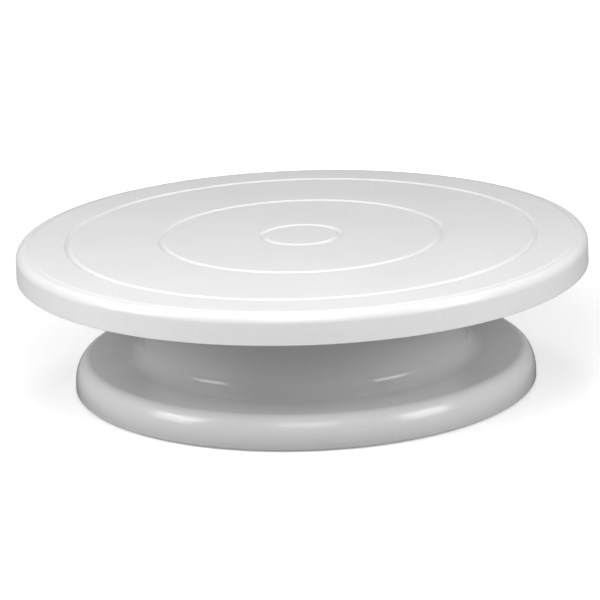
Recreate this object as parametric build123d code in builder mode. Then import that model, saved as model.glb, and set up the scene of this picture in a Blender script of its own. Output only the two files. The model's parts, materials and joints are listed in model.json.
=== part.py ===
from build123d import *
from math import cos, radians, sin, sqrt, tan
import os

# Cake turntable, in millimetres, +Z up. The origin is on the spin axis, at the level
# of the table that the rubber feet stand on.

# ---- overall sizes ----
PLATE_RADIUS = 140.0
PLATE_TOP_Z = 73.2
RIM_HEIGHT = 14.3
FOOT_RADIUS = 114.0
FOOT_HEIGHT = 15.0
DRUM_TOP_Z = 52.8
STANDOFF = 0.8              # how far the rubber feet hold the base moulding off the table
FIT_GAP = 0.02              # radial gap drawn between pieces that are pressed or screwed together

# ---- plate moulding ----
PLATE_WALL = 2.9
RIM_ROUND = 4.2
RIM_DRAFT = 0.3
RIM_LIP_ROUND = 0.4
GROOVE_RADII = (19.0, 68.7, 114.5)
GROOVE_HALF_WIDTH = 1.65
GROOVE_DEPTH = 0.9
GROOVE_LIP_ROUND = 0.4
STEP_INNER_RADIUS = 133.1    # the top slopes down a little from here
STEP_OUTER_RADIUS = 134.9    # to here, where the rim begins
STEP_DEPTH = 0.35
STEP_ROUND = 2.5
HUB_RADIUS = 12.0
HUB_BOTTOM_Z = 56.8
PLATE_RIB_DEPTH = 6.0
INNER_RIB_COUNT = 12
OUTER_RIB_COUNT = 24
HOOP_RIB_RADIUS = 104.0
SEAT_RING_WIDTH = 2.4
RIB_THICKNESS = 1.8
RIB_OVERLAP = 0.5           # how far a rib runs into the wall that it stands on

# ---- base moulding ----
BASE_WALL = 2.6
BASE_EDGE_ROUND = 0.3
SHOULDER_WIDTH = 7.5
SHOULDER_HEIGHT = 12.5
JUNCTION_RADIUS = 88.0
JUNCTION_FILLET = 8.0
DRUM_TAPER = 8.0            # degrees from upright, narrower at the top
DECK_THICKNESS = 3.0
DECK_ROUND = 3.0
BASE_BOSS_RADIUS = 10.0
BASE_BOSS_BOTTOM_Z = 30.8
DRUM_RIB_BOTTOM_Z = 32.8
DRUM_RIB_COUNT = 6
FOOT_RIB_BOTTOM_Z = 5.8
FOOT_RIB_COUNT = 12
FOOT_HOOP_RADIUS = 84.0
CHANNEL_CLEARANCE = 0.1

# ---- ball race ----
BALL_COUNT = 12
BALL_RADIUS = 3.0
BALL_CIRCLE = 60.0
TRACK_CLEARANCE = 0.15
RACE_THICKNESS = 1.0
RACE_INNER = 49.0
RACE_OUTER = 71.0
FLANGE_TO_BALL = 1.8        # from the balls' centres to the near face of a race's flange
CAGE_HALF_WIDTH = 4.4
CAGE_THICKNESS = 1.4
CAGE_POCKET_CLEARANCE = 0.25
CAGE_EDGE_ROUND = 0.3

# ---- race screws ----
RACE_SCREW_COUNT = 6
PLATE_SCREW_CIRCLE = 68.0
PLATE_SCREW_START = 15.0    # degrees
BASE_SCREW_CIRCLE = 52.0
BASE_SCREW_START = 30.0     # degrees
RACE_SCREW_HEAD_RADIUS = 2.75
RACE_SCREW_HEAD_HEIGHT = 1.6
RACE_SCREW_RADIUS = 1.4
RACE_SCREW_LENGTH = 9.0
RACE_HOLE_RADIUS = 1.6
SCREW_BOSS_RADIUS = 3.8
SCREW_BOSS_LENGTH = 11.0
SCREW_POINT = 0.6

# ---- spindle group ----
SPINDLE_RADIUS = 4.0
SPINDLE_TOP_Z = 67.8
SPINDLE_BOTTOM_Z = 29.5
SPINDLE_CHAMFER = 0.5
COLLAR_RADIUS = 7.0
COLLAR_HEIGHT = 1.7
BUSH_RADIUS = 6.0
BUSH_FLANGE_RADIUS = 9.0
BUSH_FLANGE_HEIGHT = 1.5
RUNNING_CLEARANCE = 0.05
SLIP_WASHER_RADIUS = 9.0
SLIP_WASHER_THICKNESS = 1.0
SLIP_WASHER_CLEARANCE = 0.2
RETAINING_WASHER_RADIUS = 10.0
RETAINING_WASHER_THICKNESS = 1.5
RETAINING_WASHER_HOLE = 2.7
END_SCREW_RADIUS = 2.5
END_SCREW_LENGTH = 12.0
END_SCREW_HEAD_RADIUS = 4.75
END_SCREW_HEAD_HEIGHT = 3.0
END_SCREW_POINT = 0.8

# ---- rubber feet ----
RUBBER_FOOT_COUNT = 6
RUBBER_FOOT_CIRCLE = 97.0
RUBBER_FOOT_RADIUS = 7.0
RUBBER_FOOT_TOP_Z = 3.8
RUBBER_FOOT_ROUND = 0.6
FOOT_CUP_RADIUS = 9.0
STEM_RADIUS = 4.5
STEM_LENGTH = 6.0

# ---- heights and radii that follow from the sizes above ----
RIM_BOTTOM_Z = PLATE_TOP_Z - RIM_HEIGHT
PLATE_UNDERSIDE_Z = PLATE_TOP_Z - PLATE_WALL
PLATE_RIB_BOTTOM_Z = PLATE_UNDERSIDE_Z - PLATE_RIB_DEPTH
FOOT_TOP_Z = STANDOFF + FOOT_HEIGHT
FOOT_UNDERSIDE_Z = FOOT_TOP_Z - BASE_WALL
SHOULDER_START_Z = FOOT_TOP_Z - SHOULDER_HEIGHT
DECK_UNDERSIDE_Z = DRUM_TOP_Z - DECK_THICKNESS
BALL_Z = DRUM_TOP_Z + RACE_THICKNESS + FLANGE_TO_BALL
SEAT_Z = BALL_Z + FLANGE_TO_BALL + RACE_THICKNESS
TRACK_RADIUS = BALL_RADIUS + TRACK_CLEARANCE
TRACK_BACK_RADIUS = TRACK_RADIUS + RACE_THICKNESS

os.makedirs("parts", exist_ok=True)


def write_piece(builder, node_name):
    """Label a finished piece and write it to its own file."""
    builder.part.label = node_name
    export_step(builder.part, f"parts/{node_name}.step")


def round_corner(profile, corner, radius):
    """Round the corner of a profile that lies nearest to a point of its plane."""
    fillet(profile.vertices().sort_by_distance(corner)[0], radius=radius)


def drum_wall_radius(height, inset=0.0):
    """Radius of the drum's tapered wall, or of a cone that runs inset millimetres inside it."""
    taper = radians(DRUM_TAPER)
    tangent_radius = JUNCTION_RADIUS - JUNCTION_FILLET * cos(taper)
    tangent_height = FOOT_TOP_Z + JUNCTION_FILLET * (1 - sin(taper))
    return tangent_radius - (height - tangent_height) * tan(taper) - inset / cos(taper)


# ---- turntable plate: deck, skirt and ring grooves ----
with BuildPart() as turntable_plate:
    with BuildSketch(Plane.XZ) as plate_profile:
        with BuildLine():
            Polyline(
                (0, RIM_BOTTOM_Z),
                (PLATE_RADIUS, RIM_BOTTOM_Z),
                (PLATE_RADIUS - RIM_DRAFT, PLATE_TOP_Z - STEP_DEPTH),
                (STEP_OUTER_RADIUS, PLATE_TOP_Z - STEP_DEPTH),
                (STEP_INNER_RADIUS, PLATE_TOP_Z),
                (0, PLATE_TOP_Z),
                close=True,
            )
        make_face()
        round_corner(plate_profile, (PLATE_RADIUS, RIM_BOTTOM_Z), RIM_LIP_ROUND)
        round_corner(plate_profile, (PLATE_RADIUS, PLATE_TOP_Z - STEP_DEPTH), RIM_ROUND)
        round_corner(plate_profile, (STEP_OUTER_RADIUS, PLATE_TOP_Z - STEP_DEPTH), STEP_ROUND)
        round_corner(plate_profile, (STEP_INNER_RADIUS, PLATE_TOP_Z), STEP_ROUND)
        # each groove is a shallow arc below the surface, with softened lips
        groove_arc = (GROOVE_HALF_WIDTH**2 + GROOVE_DEPTH**2) / (2 * GROOVE_DEPTH)
        for groove_radius in GROOVE_RADII:
            with Locations((groove_radius, PLATE_TOP_Z - GROOVE_DEPTH + groove_arc)):
                Circle(groove_arc, mode=Mode.SUBTRACT)
            for lip in (groove_radius - GROOVE_HALF_WIDTH, groove_radius + GROOVE_HALF_WIDTH):
                round_corner(plate_profile, (lip, PLATE_TOP_Z), GROOVE_LIP_ROUND)
    revolve(axis=Axis.Z)

    # hollow underside
    with BuildSketch(Plane.XZ) as plate_hollow:
        skirt_inner = PLATE_RADIUS - PLATE_WALL
        with BuildLine():
            Polyline(
                (0, HUB_BOTTOM_Z),
                (skirt_inner, HUB_BOTTOM_Z),
                (skirt_inner - RIM_DRAFT, PLATE_UNDERSIDE_Z),
                (0, PLATE_UNDERSIDE_Z),
                close=True,
            )
        make_face()
        round_corner(plate_hollow, (skirt_inner, PLATE_UNDERSIDE_Z), RIM_ROUND / 2)
    revolve(axis=Axis.Z, mode=Mode.SUBTRACT)

    # spokes from the hub to the outer seat ring, twice as many from there to the skirt
    with BuildSketch(Plane.XY.offset(PLATE_RIB_BOTTOM_Z)) as plate_ribs:
        skirt_middle = PLATE_RADIUS - PLATE_WALL / 2
        seat_middle = RACE_OUTER - SEAT_RING_WIDTH / 2
        with PolarLocations(seat_middle / 2, INNER_RIB_COUNT):
            Rectangle(seat_middle, RIB_THICKNESS)
        with PolarLocations((seat_middle + skirt_middle) / 2, OUTER_RIB_COUNT):
            Rectangle(skirt_middle - seat_middle, RIB_THICKNESS)
    extrude(amount=PLATE_RIB_DEPTH + RIB_OVERLAP)

    # one round rib half-way out, which ties the long ribs together
    with BuildSketch(Plane.XY.offset(PLATE_RIB_BOTTOM_Z)) as hoop_rib:
        Circle(HOOP_RIB_RADIUS + RIB_THICKNESS / 2)
        Circle(HOOP_RIB_RADIUS - RIB_THICKNESS / 2, mode=Mode.SUBTRACT)
    extrude(amount=PLATE_RIB_DEPTH + RIB_OVERLAP)

    # two seat rings that the race lies against
    for seat_outer in (RACE_OUTER, RACE_INNER + SEAT_RING_WIDTH):
        with BuildSketch(Plane.XY.offset(SEAT_Z)) as seat_ring:
            Circle(seat_outer)
            Circle(seat_outer - SEAT_RING_WIDTH, mode=Mode.SUBTRACT)
        extrude(amount=PLATE_UNDERSIDE_Z + RIB_OVERLAP - SEAT_Z)

    # bosses and pilot holes for the race's screws
    with BuildSketch(Plane.XY.offset(SEAT_Z)) as plate_bosses:
        with PolarLocations(PLATE_SCREW_CIRCLE, RACE_SCREW_COUNT, PLATE_SCREW_START):
            Circle(SCREW_BOSS_RADIUS)
    extrude(amount=PLATE_UNDERSIDE_Z + RIB_OVERLAP - SEAT_Z)
    with BuildSketch(Plane.XY.offset(SEAT_Z)) as plate_pilots:
        with PolarLocations(PLATE_SCREW_CIRCLE, RACE_SCREW_COUNT, PLATE_SCREW_START):
            Circle(RACE_SCREW_RADIUS + FIT_GAP)
    extrude(amount=RACE_SCREW_LENGTH, mode=Mode.SUBTRACT)

    # hub with a blind bore for the spindle
    with BuildSketch(Plane.XY.offset(HUB_BOTTOM_Z)) as plate_hub:
        Circle(HUB_RADIUS)
    extrude(amount=PLATE_UNDERSIDE_Z + RIB_OVERLAP - HUB_BOTTOM_Z)
    with BuildSketch(Plane.XY.offset(HUB_BOTTOM_Z)) as hub_bore:
        Circle(SPINDLE_RADIUS + FIT_GAP)
    extrude(amount=SPINDLE_TOP_Z + FIT_GAP - HUB_BOTTOM_Z, mode=Mode.SUBTRACT)

write_piece(turntable_plate, "turntable_plate")


# ---- base moulding ----
# Space inside the base, less the ribs, bosses and cups that stand in it.
with BuildPart() as base_hollow:
    with BuildSketch(Plane.XZ) as hollow_profile:
        with BuildLine():
            shoulder_centre = (FOOT_RADIUS - SHOULDER_WIDTH, SHOULDER_START_Z)
            fillet_centre = (JUNCTION_RADIUS, FOOT_TOP_Z + JUNCTION_FILLET)
            inner_foot = Line((FOOT_RADIUS - BASE_WALL, 0), (FOOT_RADIUS - BASE_WALL, SHOULDER_START_Z))
            inner_shoulder = EllipticalCenterArc(
                shoulder_centre,
                SHOULDER_WIDTH - BASE_WALL,
                SHOULDER_HEIGHT - BASE_WALL,
                start_angle=0,
                arc_size=90,
            )
            inner_deck = Line(inner_shoulder @ 1, (JUNCTION_RADIUS, FOOT_UNDERSIDE_Z))
            inner_bend = CenterArc(fillet_centre, JUNCTION_FILLET + BASE_WALL, 270, DRUM_TAPER - 90)
            ceiling_radius = drum_wall_radius(DECK_UNDERSIDE_Z, BASE_WALL)
            Polyline(
                inner_bend @ 1,
                (ceiling_radius, DECK_UNDERSIDE_Z),
                (0, DECK_UNDERSIDE_Z),
                (0, 0),
                inner_foot @ 0,
            )
        make_face()
        round_corner(hollow_profile, (ceiling_radius, DECK_UNDERSIDE_Z), DECK_ROUND / 2)
    revolve(axis=Axis.Z)

    # spokes between the spindle's boss and the drum's wall
    with BuildSketch(Plane.XY.offset(DRUM_RIB_BOTTOM_Z)) as drum_ribs:
        with PolarLocations(JUNCTION_RADIUS / 2, DRUM_RIB_COUNT):
            Rectangle(JUNCTION_RADIUS, RIB_THICKNESS)
    extrude(amount=DRUM_TOP_Z - DRUM_RIB_BOTTOM_Z, mode=Mode.SUBTRACT)

    # the spindle's boss
    with BuildSketch(Plane.XY.offset(BASE_BOSS_BOTTOM_Z)) as spindle_boss:
        Circle(BASE_BOSS_RADIUS)
    extrude(amount=DRUM_TOP_Z - BASE_BOSS_BOTTOM_Z, mode=Mode.SUBTRACT)

    # bosses under the deck for the race's screws
    with BuildSketch(Plane.XY.offset(DRUM_TOP_Z - SCREW_BOSS_LENGTH)) as deck_bosses:
        with PolarLocations(BASE_SCREW_CIRCLE, RACE_SCREW_COUNT, BASE_SCREW_START):
            Circle(SCREW_BOSS_RADIUS)
    extrude(amount=SCREW_BOSS_LENGTH, mode=Mode.SUBTRACT)

    # one round rib and short spokes under the foot
    with BuildSketch(Plane.XY.offset(FOOT_RIB_BOTTOM_Z)) as foot_ribs:
        Circle(FOOT_HOOP_RADIUS + RIB_THICKNESS / 2)
        Circle(FOOT_HOOP_RADIUS - RIB_THICKNESS / 2, mode=Mode.SUBTRACT)
        foot_rib_start = 180 / FOOT_RIB_COUNT
        with PolarLocations((FOOT_HOOP_RADIUS + FOOT_RADIUS) / 2, FOOT_RIB_COUNT, foot_rib_start):
            Rectangle(FOOT_RADIUS - FOOT_HOOP_RADIUS, RIB_THICKNESS)
    extrude(amount=FOOT_TOP_Z - FOOT_RIB_BOTTOM_Z, mode=Mode.SUBTRACT)

    # round cups that hold the rubber feet
    with BuildSketch(Plane.XY) as foot_cups:
        with PolarLocations(RUBBER_FOOT_CIRCLE, RUBBER_FOOT_COUNT):
            Circle(FOOT_CUP_RADIUS)
    extrude(amount=FOOT_TOP_Z, mode=Mode.SUBTRACT)

with BuildPart() as base_shell:
    with BuildSketch(Plane.XZ) as base_profile:
        with BuildLine():
            foot_side = Line((FOOT_RADIUS, STANDOFF), (FOOT_RADIUS, SHOULDER_START_Z))
            shoulder = EllipticalCenterArc(
                shoulder_centre, SHOULDER_WIDTH, SHOULDER_HEIGHT, start_angle=0, arc_size=90
            )
            foot_deck = Line(shoulder @ 1, (JUNCTION_RADIUS, FOOT_TOP_Z))
            bend = CenterArc(fillet_centre, JUNCTION_FILLET, 270, DRUM_TAPER - 90)
            Polyline(
                bend @ 1,
                (drum_wall_radius(DRUM_TOP_Z), DRUM_TOP_Z),
                (0, DRUM_TOP_Z),
                (0, STANDOFF),
                foot_side @ 0,
            )
        make_face()
        round_corner(base_profile, (drum_wall_radius(DRUM_TOP_Z), DRUM_TOP_Z), DECK_ROUND)
        round_corner(base_profile, (FOOT_RADIUS, STANDOFF), BASE_EDGE_ROUND)
    revolve(axis=Axis.Z)
    add(base_hollow.part, mode=Mode.SUBTRACT)

    # channel in the deck that the race's track sinks into
    with BuildSketch(Plane.XZ) as channel:
        with Locations((BALL_CIRCLE, BALL_Z)):
            Circle(TRACK_BACK_RADIUS + CHANNEL_CLEARANCE)
    revolve(axis=Axis.Z, mode=Mode.SUBTRACT)

    # bore for the bush, and pilot holes for the race's screws
    with Locations((0, 0, DRUM_TOP_Z)):
        Hole(BUSH_RADIUS + FIT_GAP, depth=DRUM_TOP_Z - BASE_BOSS_BOTTOM_Z)
        with PolarLocations(BASE_SCREW_CIRCLE, RACE_SCREW_COUNT, BASE_SCREW_START):
            Hole(RACE_SCREW_RADIUS + FIT_GAP, depth=RACE_SCREW_LENGTH)

    # sockets for the rubber feet, each with a narrower bore for the stem
    with BuildSketch(Plane.XY) as foot_sockets:
        with PolarLocations(RUBBER_FOOT_CIRCLE, RUBBER_FOOT_COUNT):
            Circle(RUBBER_FOOT_RADIUS + FIT_GAP)
    extrude(amount=RUBBER_FOOT_TOP_Z, mode=Mode.SUBTRACT)
    with BuildSketch(Plane.XY) as stem_bores:
        with PolarLocations(RUBBER_FOOT_CIRCLE, RUBBER_FOOT_COUNT):
            Circle(STEM_RADIUS + FIT_GAP)
    extrude(amount=RUBBER_FOOT_TOP_Z + STEM_LENGTH, mode=Mode.SUBTRACT)

write_piece(base_shell, "base_shell")


# ---- steel races ----
def make_race(side, screw_circle, screw_start):
    """Pressed ring with a ball track. side is 1 for the ring above the balls, -1 for the one below."""
    front_z = BALL_Z + side * FLANGE_TO_BALL
    back_z = front_z + side * RACE_THICKNESS
    track_half = sqrt(TRACK_RADIUS**2 - FLANGE_TO_BALL**2)
    back_half = sqrt(TRACK_BACK_RADIUS**2 - (FLANGE_TO_BALL + RACE_THICKNESS) ** 2)
    with BuildPart() as race:
        with BuildSketch(Plane.XZ) as race_profile:
            with BuildLine():
                inner_flange = Polyline(
                    (BALL_CIRCLE - track_half, front_z),
                    (RACE_INNER, front_z),
                    (RACE_INNER, back_z),
                    (BALL_CIRCLE - back_half, back_z),
                )
                outer_flange = Polyline(
                    (BALL_CIRCLE + back_half, back_z),
                    (RACE_OUTER, back_z),
                    (RACE_OUTER, front_z),
                    (BALL_CIRCLE + track_half, front_z),
                )
                track_back = (BALL_CIRCLE, BALL_Z + side * TRACK_BACK_RADIUS)
                ThreePointArc(inner_flange @ 1, track_back, outer_flange @ 0)
                track = (BALL_CIRCLE, BALL_Z + side * TRACK_RADIUS)
                ThreePointArc(outer_flange @ 1, track, inner_flange @ 0)
            make_face()
        revolve(axis=Axis.Z)
        with BuildSketch(Plane.XY.offset(BALL_Z)) as screw_holes:
            with PolarLocations(screw_circle, RACE_SCREW_COUNT, screw_start):
                Circle(RACE_HOLE_RADIUS)
        extrude(amount=side * (TRACK_BACK_RADIUS + RACE_THICKNESS), mode=Mode.SUBTRACT)
    return race


plate_race = make_race(1, PLATE_SCREW_CIRCLE, PLATE_SCREW_START)
write_piece(plate_race, "plate_race")

base_race = make_race(-1, BASE_SCREW_CIRCLE, BASE_SCREW_START)
write_piece(base_race, "base_race")


# ---- balls and their cage ----
with BuildPart() as ball_cage:
    with BuildSketch(Plane.XY.offset(BALL_Z - CAGE_THICKNESS / 2)) as cage_outline:
        Circle(BALL_CIRCLE + CAGE_HALF_WIDTH)
        Circle(BALL_CIRCLE - CAGE_HALF_WIDTH, mode=Mode.SUBTRACT)
    extrude(amount=CAGE_THICKNESS)
    fillet(ball_cage.edges(), radius=CAGE_EDGE_ROUND)
    with BuildSketch(Plane.XY.offset(BALL_Z - CAGE_THICKNESS / 2)) as cage_pockets:
        with PolarLocations(BALL_CIRCLE, BALL_COUNT):
            Circle(BALL_RADIUS + CAGE_POCKET_CLEARANCE)
    extrude(amount=CAGE_THICKNESS, mode=Mode.SUBTRACT)

write_piece(ball_cage, "ball_cage")

for ball_number in range(1, BALL_COUNT + 1):
    ball_angle = radians(360 / BALL_COUNT * (ball_number - 1))
    with BuildPart() as bearing_ball:
        with Locations((BALL_CIRCLE * cos(ball_angle), BALL_CIRCLE * sin(ball_angle), BALL_Z)):
            Sphere(BALL_RADIUS)
    write_piece(bearing_ball, f"bearing_ball_{ball_number:02d}")


# ---- screws ----
def make_screw(side, head_radius, head_height, shank_radius, shank_length, point):
    """One pan-head screw on the Z axis, the underside of its head at z = 0.

    side is 1 where the head stands up and the shank points down, -1 the other way up.
    """
    with BuildPart() as screw:
        with BuildSketch(Plane.XZ) as screw_profile:
            with BuildLine():
                Polyline(
                    (0, side * head_height),
                    (head_radius, side * head_height),
                    (head_radius, 0),
                    (shank_radius, 0),
                    (shank_radius, -side * shank_length),
                    (0, -side * shank_length),
                    close=True,
                )
            make_face()
            round_corner(screw_profile, (head_radius, side * head_height), head_height * 0.6)
            tip = screw_profile.vertices().sort_by_distance((shank_radius, -side * shank_length))[0]
            chamfer(tip, length=point)
        revolve(axis=Axis.Z)
        with BuildSketch(Plane.XY.offset(side * head_height)) as cross_recess:
            Rectangle(head_radius, head_radius / 4)
            Rectangle(head_radius / 4, head_radius)
        extrude(amount=-side * head_height / 2, mode=Mode.SUBTRACT)
    return screw


RACE_SCREW = (
    RACE_SCREW_HEAD_RADIUS,
    RACE_SCREW_HEAD_HEIGHT,
    RACE_SCREW_RADIUS,
    RACE_SCREW_LENGTH,
    SCREW_POINT,
)

race_screw_up = make_screw(-1, *RACE_SCREW)
with BuildPart() as plate_race_screws:
    with Locations((0, 0, SEAT_Z - RACE_THICKNESS)):
        with PolarLocations(PLATE_SCREW_CIRCLE, RACE_SCREW_COUNT, PLATE_SCREW_START):
            add(race_screw_up.part)

write_piece(plate_race_screws, "plate_race_screws")

race_screw_down = make_screw(1, *RACE_SCREW)
with BuildPart() as base_race_screws:
    with Locations((0, 0, DRUM_TOP_Z + RACE_THICKNESS)):
        with PolarLocations(BASE_SCREW_CIRCLE, RACE_SCREW_COUNT, BASE_SCREW_START):
            add(race_screw_down.part)

write_piece(base_race_screws, "base_race_screws")


# ---- spindle, its bush and what holds it down ----
with BuildPart() as spindle_pin:
    with BuildSketch(Plane.XZ) as spindle_profile:
        collar_bottom_z = HUB_BOTTOM_Z - COLLAR_HEIGHT
        with BuildLine():
            Polyline(
                (0, SPINDLE_BOTTOM_Z),
                (SPINDLE_RADIUS, SPINDLE_BOTTOM_Z),
                (SPINDLE_RADIUS, collar_bottom_z),
                (COLLAR_RADIUS, collar_bottom_z),
                (COLLAR_RADIUS, HUB_BOTTOM_Z),
                (SPINDLE_RADIUS, HUB_BOTTOM_Z),
                (SPINDLE_RADIUS, SPINDLE_TOP_Z),
                (0, SPINDLE_TOP_Z),
                close=True,
            )
        make_face()
        for corner in ((SPINDLE_RADIUS, SPINDLE_BOTTOM_Z), (SPINDLE_RADIUS, SPINDLE_TOP_Z)):
            chamfer(spindle_profile.vertices().sort_by_distance(corner)[0], length=SPINDLE_CHAMFER)
    revolve(axis=Axis.Z)
    with BuildSketch(Plane.XY.offset(SPINDLE_BOTTOM_Z)) as tapped_hole:
        Circle(END_SCREW_RADIUS + FIT_GAP)
    extrude(amount=END_SCREW_LENGTH, mode=Mode.SUBTRACT)

write_piece(spindle_pin, "spindle_pin")

with BuildPart() as spindle_bush:
    with BuildSketch(Plane.XY.offset(BASE_BOSS_BOTTOM_Z)) as bush_sleeve:
        Circle(BUSH_RADIUS)
    extrude(amount=DRUM_TOP_Z - BASE_BOSS_BOTTOM_Z)
    with BuildSketch(Plane.XY.offset(DRUM_TOP_Z)) as bush_flange:
        Circle(BUSH_FLANGE_RADIUS)
    extrude(amount=BUSH_FLANGE_HEIGHT)
    with Locations((0, 0, DRUM_TOP_Z)):
        Hole(SPINDLE_RADIUS + RUNNING_CLEARANCE)

write_piece(spindle_bush, "spindle_bush")


def make_washer(bottom_z, thickness, outer_radius, hole_radius):
    """Flat washer on the spin axis."""
    with BuildPart() as washer:
        with BuildSketch(Plane.XY.offset(bottom_z)) as washer_outline:
            Circle(outer_radius)
            Circle(hole_radius, mode=Mode.SUBTRACT)
        extrude(amount=thickness)
    return washer


slip_washer = make_washer(
    SPINDLE_BOTTOM_Z,
    SLIP_WASHER_THICKNESS,
    SLIP_WASHER_RADIUS,
    SPINDLE_RADIUS + SLIP_WASHER_CLEARANCE,
)
write_piece(slip_washer, "slip_washer")

retaining_washer_z = SPINDLE_BOTTOM_Z - RETAINING_WASHER_THICKNESS
retaining_washer = make_washer(
    retaining_washer_z,
    RETAINING_WASHER_THICKNESS,
    RETAINING_WASHER_RADIUS,
    RETAINING_WASHER_HOLE,
)
write_piece(retaining_washer, "retaining_washer")

end_screw = make_screw(
    -1,
    END_SCREW_HEAD_RADIUS,
    END_SCREW_HEAD_HEIGHT,
    END_SCREW_RADIUS,
    END_SCREW_LENGTH,
    END_SCREW_POINT,
)
with BuildPart() as retaining_screw:
    with Locations((0, 0, retaining_washer_z)):
        add(end_screw.part)

write_piece(retaining_screw, "retaining_screw")


# ---- rubber feet ----
for foot_number in range(1, RUBBER_FOOT_COUNT + 1):
    foot_angle = radians(360 / RUBBER_FOOT_COUNT * (foot_number - 1))
    foot_x = RUBBER_FOOT_CIRCLE * cos(foot_angle)
    foot_y = RUBBER_FOOT_CIRCLE * sin(foot_angle)
    with BuildPart() as rubber_foot:
        with BuildSketch(Plane.XY) as foot_pad:
            with Locations((foot_x, foot_y)):
                Circle(RUBBER_FOOT_RADIUS)
        extrude(amount=RUBBER_FOOT_TOP_Z)
        fillet(rubber_foot.edges().group_by(Axis.Z)[0], radius=RUBBER_FOOT_ROUND)
        with BuildSketch(Plane.XY.offset(RUBBER_FOOT_TOP_Z)) as foot_stem:
            with Locations((foot_x, foot_y)):
                Circle(STEM_RADIUS)
        extrude(amount=STEM_LENGTH)
        fillet(rubber_foot.edges().group_by(Axis.Z)[-1], radius=RUBBER_FOOT_ROUND)
    write_piece(rubber_foot, f"rubber_foot_{foot_number}")
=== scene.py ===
import json
from math import atan2, cos, hypot, pi, radians, sin

import bmesh
import bpy
from mathutils import Matrix, Vector


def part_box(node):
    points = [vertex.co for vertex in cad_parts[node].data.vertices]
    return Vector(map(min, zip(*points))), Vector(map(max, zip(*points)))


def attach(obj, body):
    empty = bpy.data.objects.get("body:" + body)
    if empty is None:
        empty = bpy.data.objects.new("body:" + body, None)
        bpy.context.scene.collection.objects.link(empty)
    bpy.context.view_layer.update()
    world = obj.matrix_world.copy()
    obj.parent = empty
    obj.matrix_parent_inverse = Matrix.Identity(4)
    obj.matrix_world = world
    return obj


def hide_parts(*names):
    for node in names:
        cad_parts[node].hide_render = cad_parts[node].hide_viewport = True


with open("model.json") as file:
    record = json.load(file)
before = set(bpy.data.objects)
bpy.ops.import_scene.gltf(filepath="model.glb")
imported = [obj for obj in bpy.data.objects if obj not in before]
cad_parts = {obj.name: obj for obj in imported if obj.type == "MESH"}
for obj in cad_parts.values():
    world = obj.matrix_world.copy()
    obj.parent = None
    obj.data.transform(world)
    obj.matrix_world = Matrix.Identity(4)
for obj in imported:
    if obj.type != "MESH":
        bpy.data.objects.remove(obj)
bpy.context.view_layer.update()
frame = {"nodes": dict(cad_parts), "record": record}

NODES = frame["nodes"]
PLATE_LOW, PLATE_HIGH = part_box("turntable_plate")
PLATE_RADIUS = (PLATE_HIGH.x - PLATE_LOW.x) / 2
PLATE_CENTRE = Vector((0, 0, PLATE_HIGH.z))

# ---- camera, in plate radii and degrees ----
CAMERA_DISTANCE = 10.195
CAMERA_ELEVATION = 14.77
CAMERA_YAW = 0.07
CAMERA_PITCH = -1.285
CAMERA_ROLL = 1.94
LENS_MM = 174.8
SENSOR_MM = 36.0
CLIP_START = 0.01           # metres


def make_camera():
    """Looks down at the plate from the front, aimed a little below its top, rolled slightly."""
    tilt = radians(CAMERA_ELEVATION)
    right = Vector((1, 0, 0))
    up = Vector((0, sin(tilt), cos(tilt)))
    forward = Vector((0, cos(tilt), -sin(tilt)))
    place = PLATE_CENTRE - forward * CAMERA_DISTANCE * PLATE_RADIUS
    for angle, axis_name in ((CAMERA_YAW, "up"), (CAMERA_PITCH, "right"), (CAMERA_ROLL, "forward")):
        axis = {"up": up, "right": right, "forward": forward}[axis_name]
        turn = Matrix.Rotation(radians(angle), 3, axis)
        right, up, forward = turn @ right, turn @ up, turn @ forward
    camera = bpy.data.objects.new("camera", bpy.data.cameras.new("camera"))
    camera.data.lens = LENS_MM
    camera.data.sensor_width = SENSOR_MM
    camera.data.clip_start = CLIP_START
    rotation = Matrix((right, up, -forward)).transposed()
    camera.matrix_world = Matrix.Translation(place) @ rotation.to_4x4()
    bpy.context.scene.collection.objects.link(camera)
    bpy.context.scene.camera = camera


# ---- node helpers ----
def node(tree, kind, inputs=None, **settings):
    """Add a shader node. inputs maps a socket's name or number to a value or to another socket."""
    made = tree.nodes.new("ShaderNode" + kind)
    for key, value in settings.items():
        setattr(made, key, value)
    for key, value in (inputs or {}).items():
        if isinstance(value, bpy.types.NodeSocket):
            tree.links.new(value, made.inputs[key])
        else:
            made.inputs[key].default_value = value
    return made


def noise(tree, vector, scale, detail=3.0, roughness=0.5):
    """Noise of about 1/scale metres, as a value from 0 to 1."""
    made = node(
        tree, "TexNoise", {"Vector": vector, "Scale": scale, "Detail": detail, "Roughness": roughness}
    )
    return made.outputs["Fac"]


def spread(tree, value, low, high, from_low=0.3, from_high=0.7):
    """Map a value from one range to another, clamped. Most noise lies between 0.3 and 0.7."""
    made = node(
        tree,
        "MapRange",
        {"Value": value, "From Min": from_low, "From Max": from_high, "To Min": low, "To Max": high},
    )
    return made.outputs["Result"]


def math(tree, operation, first, second):
    """One Math node on two values or sockets."""
    made = node(tree, "Math", {0: first, 1: second}, operation=operation)
    return made.outputs[0]


def mix_colour(tree, factor, first, second):
    """Blend two colours, each a tuple of three numbers or a socket."""
    made = node(tree, "Mix", {"Factor": factor}, data_type="RGBA")
    for socket_number, colour in ((6, first), (7, second)):
        if isinstance(colour, bpy.types.NodeSocket):
            tree.links.new(colour, made.inputs[socket_number])
        else:
            made.inputs[socket_number].default_value = (*colour, 1.0)
    return made.outputs[2]


def bump(tree, height, strength, distance, below=None):
    """Bumps up to distance metres high, on top of the normal below."""
    inputs = {"Height": height, "Strength": strength, "Distance": distance}
    if below is not None:
        inputs["Normal"] = below
    return node(tree, "Bump", inputs).outputs["Normal"]


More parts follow.
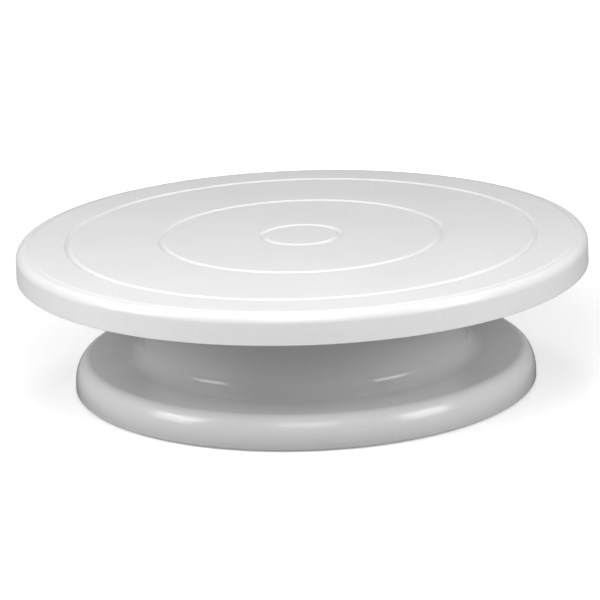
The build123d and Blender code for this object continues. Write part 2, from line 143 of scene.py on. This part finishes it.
def turned_coordinates(tree, place):
    """Radius, angle and height about the spin axis, as separate values."""
    parts = node(tree, "SeparateXYZ", {"Vector": place})
    flat = node(tree, "CombineXYZ", {"X": parts.outputs["X"], "Y": parts.outputs["Y"]})
    radius = node(tree, "VectorMath", {0: flat.outputs[0]}, operation="LENGTH").outputs["Value"]
    angle = math(tree, "ARCTAN2", parts.outputs["Y"], parts.outputs["X"])
    return radius, angle, parts.outputs["Z"]


def new_material(name, **shader_values):
    """A material with one Principled shader: it, its node tree, the shader and object coordinates."""
    material = bpy.data.materials.new(name)
    material.use_nodes = True
    tree = material.node_tree
    tree.nodes.clear()
    shader = node(tree, "BsdfPrincipled")
    for key, value in shader_values.items():
        shader.inputs[key.replace("_", " ")].default_value = value
    output = node(tree, "OutputMaterial")
    tree.links.new(shader.outputs["BSDF"], output.inputs["Surface"])
    place = node(tree, "TexCoord").outputs["Object"]
    return material, tree, shader, place


def finish_material(tree, shader, colour, roughness, normal):
    tree.links.new(colour, shader.inputs["Base Color"])
    tree.links.new(roughness, shader.inputs["Roughness"])
    tree.links.new(normal, shader.inputs["Normal"])


# ---- materials ----
WHITE_DARK = (0.795, 0.795, 0.79)
WHITE_LIGHT = (0.825, 0.825, 0.825)
WHITE_FLECK = (0.76, 0.76, 0.75)
RUBBER = (0.035, 0.035, 0.037)
RUBBER_DUST = (0.12, 0.12, 0.115)


def white_plastic(name, gloss_low, gloss_high, orange_peel):
    """White moulding: faint clouding, tiny flecks, orange peel and a slightly uneven gloss."""
    material, tree, shader, place = new_material(name, IOR=1.49)
    cloud = noise(tree, place, scale=22.0, detail=3.0)
    fleck = noise(tree, place, scale=900.0, detail=2.0)
    smear = noise(tree, place, scale=55.0, detail=5.0, roughness=0.6)
    base = mix_colour(tree, spread(tree, cloud, 0.0, 1.0), WHITE_DARK, WHITE_LIGHT)
    colour = mix_colour(tree, spread(tree, fleck, 0.0, 0.25, 0.5, 0.8), base, WHITE_FLECK)
    gloss = spread(tree, smear, gloss_low, gloss_high, 0.25, 0.75)
    peel = noise(tree, place, scale=420.0, detail=2.0)
    wave = noise(tree, place, scale=35.0, detail=1.0)
    normal = bump(tree, wave, strength=0.10, distance=0.0006)
    normal = bump(tree, peel, strength=orange_peel, distance=0.0002, below=normal)
    normal = bump(tree, fleck, strength=0.05, distance=0.00004, below=normal)
    finish_material(tree, shader, colour, gloss, normal)
    return material


def metal(name, light, dark, rough_low, rough_high, ring_scale, ring_stretch):
    """Steel with fine marks that run round the spin axis and a cloudy plating."""
    material, tree, shader, place = new_material(name, Metallic=1.0)
    radius, angle, height = turned_coordinates(tree, place)
    ring_place = node(
        tree,
        "CombineXYZ",
        {
            "X": math(tree, "MULTIPLY", radius, ring_scale),
            "Y": math(tree, "MULTIPLY", angle, ring_stretch),
            "Z": math(tree, "MULTIPLY", height, ring_scale),
        },
    ).outputs[0]
    marks = noise(tree, ring_place, scale=1.0, detail=4.0, roughness=0.6)
    cloud = noise(tree, place, scale=180.0, detail=4.0, roughness=0.6)
    colour = mix_colour(tree, spread(tree, cloud, 0.0, 1.0), dark, light)
    plating = spread(tree, cloud, rough_low, rough_high)
    rough = math(tree, "ADD", plating, spread(tree, marks, 0.0, 0.12, 0.4, 0.8))
    normal = bump(tree, marks, strength=0.25, distance=0.00003)
    normal = bump(tree, cloud, strength=0.10, distance=0.00005, below=normal)
    finish_material(tree, shader, colour, rough, normal)
    return material


def soft_plastic(name, light, dark, rough):
    """Unpainted nylon or acetal: faint clouding and a fine moulding texture."""
    material, tree, shader, place = new_material(name, IOR=1.5)
    cloud = noise(tree, place, scale=120.0, detail=3.0)
    grain = noise(tree, place, scale=1800.0, detail=2.0)
    colour = mix_colour(tree, spread(tree, cloud, 0.0, 1.0), dark, light)
    roughness = spread(tree, grain, rough - 0.06, rough + 0.08)
    normal = bump(tree, grain, strength=0.15, distance=0.00005)
    normal = bump(tree, cloud, strength=0.10, distance=0.0002, below=normal)
    finish_material(tree, shader, colour, roughness, normal)
    return material


def foot_rubber():
    """Dark rubber with a fine grain and a patchy film of dust."""
    material, tree, shader, place = new_material("foot_rubber", IOR=1.52)
    dust = noise(tree, place, scale=260.0, detail=5.0, roughness=0.7)
    grain = noise(tree, place, scale=3200.0, detail=2.0)
    colour = mix_colour(tree, spread(tree, dust, 0.0, 1.0, 0.45, 0.75), RUBBER, RUBBER_DUST)
    roughness = spread(tree, grain, 0.62, 0.85)
    normal = bump(tree, grain, strength=0.35, distance=0.00008)
    finish_material(tree, shader, colour, roughness, normal)
    return material


# Roughness at its lowest and highest, and the strength of the orange peel.
PLATE_GLOSS = (0.22, 0.25, 0.05)
BASE_GLOSS = (0.13, 0.16, 0.05)
# Light and dark colour, roughness at its lowest and highest, and how many marks there are to a
# metre outwards or upwards and to a radian round the axis.
STEELS = {
    "race_steel": ((0.68, 0.69, 0.71), (0.56, 0.57, 0.59), 0.24, 0.34, 3500.0, 3.0),
    "ball_steel": ((0.80, 0.80, 0.81), (0.72, 0.73, 0.75), 0.06, 0.12, 2500.0, 20.0),
    "spindle_steel": ((0.66, 0.67, 0.68), (0.52, 0.53, 0.55), 0.22, 0.32, 4500.0, 0.5),
    "zinc_steel": ((0.72, 0.73, 0.72), (0.58, 0.60, 0.62), 0.28, 0.42, 2500.0, 1.0),
}
# Light and dark colour, and roughness.
SOFT_PLASTICS = {
    "cage_plastic": ((0.72, 0.70, 0.63), (0.66, 0.63, 0.55), 0.42),
    "bush_plastic": ((0.80, 0.79, 0.76), (0.74, 0.73, 0.69), 0.38),
}
SLOT_MATERIALS = {
    "white_plastic": white_plastic("white_plastic", *PLATE_GLOSS),
    "foot_rubber": foot_rubber(),
    **{name: metal(name, *values) for name, values in STEELS.items()},
    **{name: soft_plastic(name, *values) for name, values in SOFT_PLASTICS.items()},
}


def dress_cad_nodes():
    """Give every CAD node the material of its slot. The base gets a glossier white."""
    for row in frame["record"]["subparts"]:
        mesh = NODES[row["node"]].data
        mesh.materials.clear()
        mesh.materials.append(SLOT_MATERIALS[row["material_slot"]])
    NODES["base_shell"].data.materials[0] = white_plastic("white_plastic_base", *BASE_GLOSS)


# ---- the plate, with its turned skin redrawn in fine steps ----
SKIN_SEGMENTS = 360
SKIN_TOP_DEPTH = 0.0022     # the top and its grooves lie within this of the highest point
SKIN_SIDE_DEPTH = 0.0012    # the rim's outer wall lies within this of the largest radius
SAME_PLACE = 2e-6


def on_skin(place):
    """True on the plate's top and grooves and on the rim, down to the flat edge under it."""
    near_top = place.z > PLATE_HIGH.z - SKIN_TOP_DEPTH
    near_side = hypot(place.x, place.y) > PLATE_RADIUS - SKIN_SIDE_DEPTH
    return near_top or near_side


def skin_outline(places):
    """The skin's outline as (radius, height), from the axis out and down to the flat edge."""
    rings = [(hypot(place.x, place.y), place.z) for place in places]
    widest_z = max(rings)[1]
    upper = sorted(ring for ring in rings if ring[1] >= widest_z)
    lower = sorted((ring for ring in rings if ring[1] < widest_z), key=lambda ring: -ring[1])
    outline = [(0.0, upper[0][1])]
    for radius, height in upper + lower:
        if hypot(radius - outline[-1][0], height - outline[-1][1]) > SAME_PLACE:
            outline.append((radius, height))
    return outline


def outline_normals(outline):
    """Outward (radial, upward) normals at the outline's points. Long straight runs keep theirs."""
    runs = [(b[0] - a[0], b[1] - a[1]) for a, b in zip(outline, outline[1:])]
    normals = []
    for before, after in zip([(1.0, 0.0)] + runs, runs + [(-1.0, 0.0)]):
        along, up = before[0] + after[0], before[1] + after[1]
        length = hypot(along, up)
        normals.append((-up / length, along / length))
    return normals


def stitch(outer, inner):
    """Triangles between two rings of (angle, point) that have different numbers of points."""
    outer = outer + [(outer[0][0] + 2 * pi, outer[0][1])]
    inner = inner + [(inner[0][0] + 2 * pi, inner[0][1])]
    triangles = []
    i = j = 0
    while i < len(outer) - 1 or j < len(inner) - 1:
        outer_is_done = i == len(outer) - 1
        inner_is_left = j < len(inner) - 1
        if inner_is_left and (outer_is_done or inner[j + 1][0] < outer[i + 1][0]):
            triangles.append((outer[i][1], inner[j][1], inner[j + 1][1]))
            j += 1
        else:
            triangles.append((outer[i][1], inner[j][1], outer[i + 1][1]))
            i += 1
    return triangles


def underside_of_plate():
    """The CAD plate as a bmesh, welded, with its skin's faces taken off. A layer holds the normals."""
    source = NODES["turntable_plate"].data
    underside = bmesh.new()
    underside.from_mesh(source)
    layer = underside.loops.layers.float_vector.new("drawn_normal")
    for face, polygon in zip(underside.faces, source.polygons):
        for corner, number in zip(face.loops, polygon.loop_indices):
            corner[layer] = source.corner_normals[number].vector
    bmesh.ops.remove_doubles(underside, verts=underside.verts, dist=SAME_PLACE)
    skin = [face for face in underside.faces if all(on_skin(corner.co) for corner in face.verts)]
    outline = skin_outline([corner.co.copy() for face in skin for corner in face.verts])
    bmesh.ops.delete(underside, geom=skin, context="FACES")
    return underside, layer, outline


def turn_skin(plate, outline):
    """Turn the outline into rings of points. Returns its faces, and each new point's normal."""
    axis_point = plate.verts.new((0, 0, outline[0][1]))
    normals = {axis_point: Vector((0, 0, 1))}
    angles = [2 * pi * step / SKIN_SEGMENTS - pi for step in range(SKIN_SEGMENTS)]
    rings = []
    for (radius, height), (outward, upward) in list(zip(outline, outline_normals(outline)))[1:-1]:
        ring = []
        for angle in angles:
            point = plate.verts.new((radius * cos(angle), radius * sin(angle), height))
            normals[point] = Vector((outward * cos(angle), outward * sin(angle), upward))
            ring.append((angle, point))
        rings.append(ring)
    faces = []
    for step in range(SKIN_SEGMENTS):
        after = (step + 1) % SKIN_SEGMENTS
        faces.append((axis_point, rings[0][step][1], rings[0][after][1]))
        for near, far in zip(rings, rings[1:]):
            faces.append((near[step][1], far[step][1], far[after][1], near[after][1]))
    return faces, normals, rings[-1]


def make_plate():
    """The plate's piece: a finely turned skin on the ribbed underside of the CAD plate."""
    plate, layer, outline = underside_of_plate()
    open_edges = [edge for edge in plate.edges if len(edge.link_faces) == 1]
    open_points = {point for edge in open_edges for point in edge.verts}
    flat_edge = sorted(
        ((atan2(point.co.y, point.co.x), point) for point in open_points), key=lambda item: item[0]
    )
    faces, normals, last_ring = turn_skin(plate, outline)
    normals.update({point: Vector((0, 0, -1)) for angle, point in flat_edge})
    for points in faces + stitch(last_ring, flat_edge):
        for corner in plate.faces.new(points).loops:
            corner[layer] = normals[corner.vert]

    mesh = bpy.data.meshes.new("plate_moulding")
    plate.to_mesh(mesh)
    plate.free()
    mesh.shade_smooth()
    drawn_normals = [corner.vector.copy() for corner in mesh.attributes["drawn_normal"].data]
    mesh.attributes.remove(mesh.attributes["drawn_normal"])
    mesh.normals_split_custom_set(drawn_normals)
    mesh.materials.clear()
    mesh.materials.append(SLOT_MATERIALS["white_plastic"])
    piece = bpy.data.objects.new("plate_moulding", mesh)
    bpy.context.scene.collection.objects.link(piece)
    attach(piece, "plate")
    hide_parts("turntable_plate")


# ---- studio ----
# Lights that aim at the turntable: metres away, degrees up, degrees round from the front
# towards +X, metres square, watts.
AIMED_LIGHTS = {
    "left": (0.9, 25, -68, 0.35, 1.85),
    "right": (0.9, 25, 60, 0.35, 2.10),
    "high_left": (0.9, 55, -60, 0.35, 0.55),
    "near_left": (0.5, 35, -68, 0.22, 0.53),
    "near_right": (0.5, 35, 60, 0.22, 0.33),
    "near_front": (0.5, 35, 0, 0.22, 0.40),
    "near_high": (0.5, 52, 0, 0.22, 0.40),
    "back": (2.0, 56, 180, 0.7, 6.2),
    "back_right": (2.0, 56, 120, 0.7, 2.3),
}
AIM = Vector((0, 0, 0.05))
# A light over the floor behind the turntable: metres up, metres back, metres square, watts and
# degrees of spread.
FAR_LIGHT_HEIGHT = 1.1
FAR_LIGHT_BEHIND = 1.0
FAR_LIGHT_SIZE, FAR_LIGHT_POWER, FAR_LIGHT_SPREAD = 0.5, 4.0, 60.0
WORLD_COLOUR = (1.0, 1.0, 1.0)
WORLD_STRENGTH = 0.27       # what lights the turntable
WORLD_SEEN = 0.95           # what shows past the floor's edge

# ---- floor, in metres ----
FLOOR_HALF_WIDTH = 6.0
FLOOR_DROP = 0.0001         # keeps the floor from lying in the same plane as the rubber feet
# The colour that the floor throws back, from under the foot out to the open floor. Under the foot it
# is painted shade: a dark throw-back colour that darkens the base's foot and drum.
THROWN_FROM, THROWN_TO = 0.13, 0.20
PAINTED_SHADE_NEAR = (0.05, 0.051, 0.054)
THROWN_FAR = (0.425, 0.43, 0.44)
# The colour that the camera sees, and painted light: a glow, seen only by the camera, that grows
# towards the open floor and lifts the floor's shadows.
SEEN_DARK = (0.92, 0.92, 0.92)
SEEN_LIGHT = (0.94, 0.94, 0.94)
GLOW_FROM, GLOW_TO = 0.35, 1.1
GLOW_NEAR, GLOW_FAR = 0.32, 0.70
FLOOR_ROUGHNESS = 0.9


def area_light(name, place, target, size, power, spread_angle=180.0):
    """A soft square light that faces its target."""
    data = bpy.data.lights.new(name, "AREA")
    data.size = size
    data.energy = power
    data.spread = radians(spread_angle)
    light = bpy.data.objects.new(name, data)
    light.location = place
    light.rotation_euler = (Vector(target) - Vector(place)).to_track_quat("-Z", "Y").to_euler()
    bpy.context.scene.collection.objects.link(light)


def floor_material():
    """Pale matt sheet with painted shade and painted light. It looks nearly white, but it throws less
    light back at the turntable: under the foot a dark throw-back colour paints shade on the base, and
    a glow seen only by the camera lifts the floor's shadows.
    """
    material, tree, shader, place = new_material("floor", IOR=1.4, Roughness=FLOOR_ROUGHNESS)
    cloud = noise(tree, place, scale=3.0, detail=2.0)
    distance = node(tree, "VectorMath", {0: place}, operation="LENGTH").outputs["Value"]
    outwards = spread(tree, distance, 0.0, 1.0, THROWN_FROM, THROWN_TO)
    # painted shade: the colour thrown back is dark under the foot, which darkens the base's foot and
    # drum
    throw_with_painted_shade = mix_colour(tree, outwards, PAINTED_SHADE_NEAR, THROWN_FAR)
    seen = mix_colour(tree, cloud, SEEN_DARK, SEEN_LIGHT)
    # painted light: an emission seen only by the camera, growing outwards, that lifts the floor's
    # shadows
    glow = spread(tree, distance, GLOW_NEAR, GLOW_FAR, GLOW_FROM, GLOW_TO)
    camera_ray = node(tree, "LightPath").outputs["Is Camera Ray"]
    tree.links.new(mix_colour(tree, camera_ray, throw_with_painted_shade, seen), shader.inputs["Base Color"])
    shader.inputs["Emission Color"].default_value = (1.0, 1.0, 1.0, 1.0)
    tree.links.new(math(tree, "MULTIPLY", camera_ray, glow), shader.inputs["Emission Strength"])
    return material


def make_floor():
    """One flat square sheet just under the rubber feet."""
    half = FLOOR_HALF_WIDTH
    floor_mesh = bpy.data.meshes.new("floor")
    level = -FLOOR_DROP
    corners = [(-half, -half, level), (half, -half, level), (half, half, level), (-half, half, level)]
    floor_mesh.from_pydata(corners, [], [(0, 1, 2, 3)])
    floor_mesh.materials.append(floor_material())
    floor = bpy.data.objects.new("floor", floor_mesh)
    bpy.context.scene.collection.objects.link(floor)


def make_lights():
    """The lights aimed at the turntable, and one that lights the floor behind it."""
    for name, (distance, up, round_from_front, size, power) in AIMED_LIGHTS.items():
        rise, turn = radians(up), radians(round_from_front)
        direction = Vector((sin(turn) * cos(rise), -cos(turn) * cos(rise), sin(rise)))
        area_light(name, AIM + distance * direction, AIM, size, power)
    above = Vector((0, FAR_LIGHT_BEHIND, FAR_LIGHT_HEIGHT))
    below = Vector((0, FAR_LIGHT_BEHIND, 0))
    area_light("far_floor", above, below, FAR_LIGHT_SIZE, FAR_LIGHT_POWER, FAR_LIGHT_SPREAD)


def make_world():
    """Even light from all round. It is paler where the camera sees it past the floor."""
    world = bpy.data.worlds.new("studio")
    world.use_nodes = True
    background = world.node_tree.nodes["Background"]
    background.inputs["Color"].default_value = (*WORLD_COLOUR, 1.0)
    camera_ray = node(world.node_tree, "LightPath").outputs["Is Camera Ray"]
    strength = spread(world.node_tree, camera_ray, WORLD_STRENGTH, WORLD_SEEN, 0.0, 1.0)
    world.node_tree.links.new(strength, background.inputs["Strength"])
    bpy.context.scene.world = world


make_camera()
dress_cad_nodes()
make_plate()
make_floor()
make_lights()
make_world()
bpy.context.scene.view_settings.view_transform = "Standard"
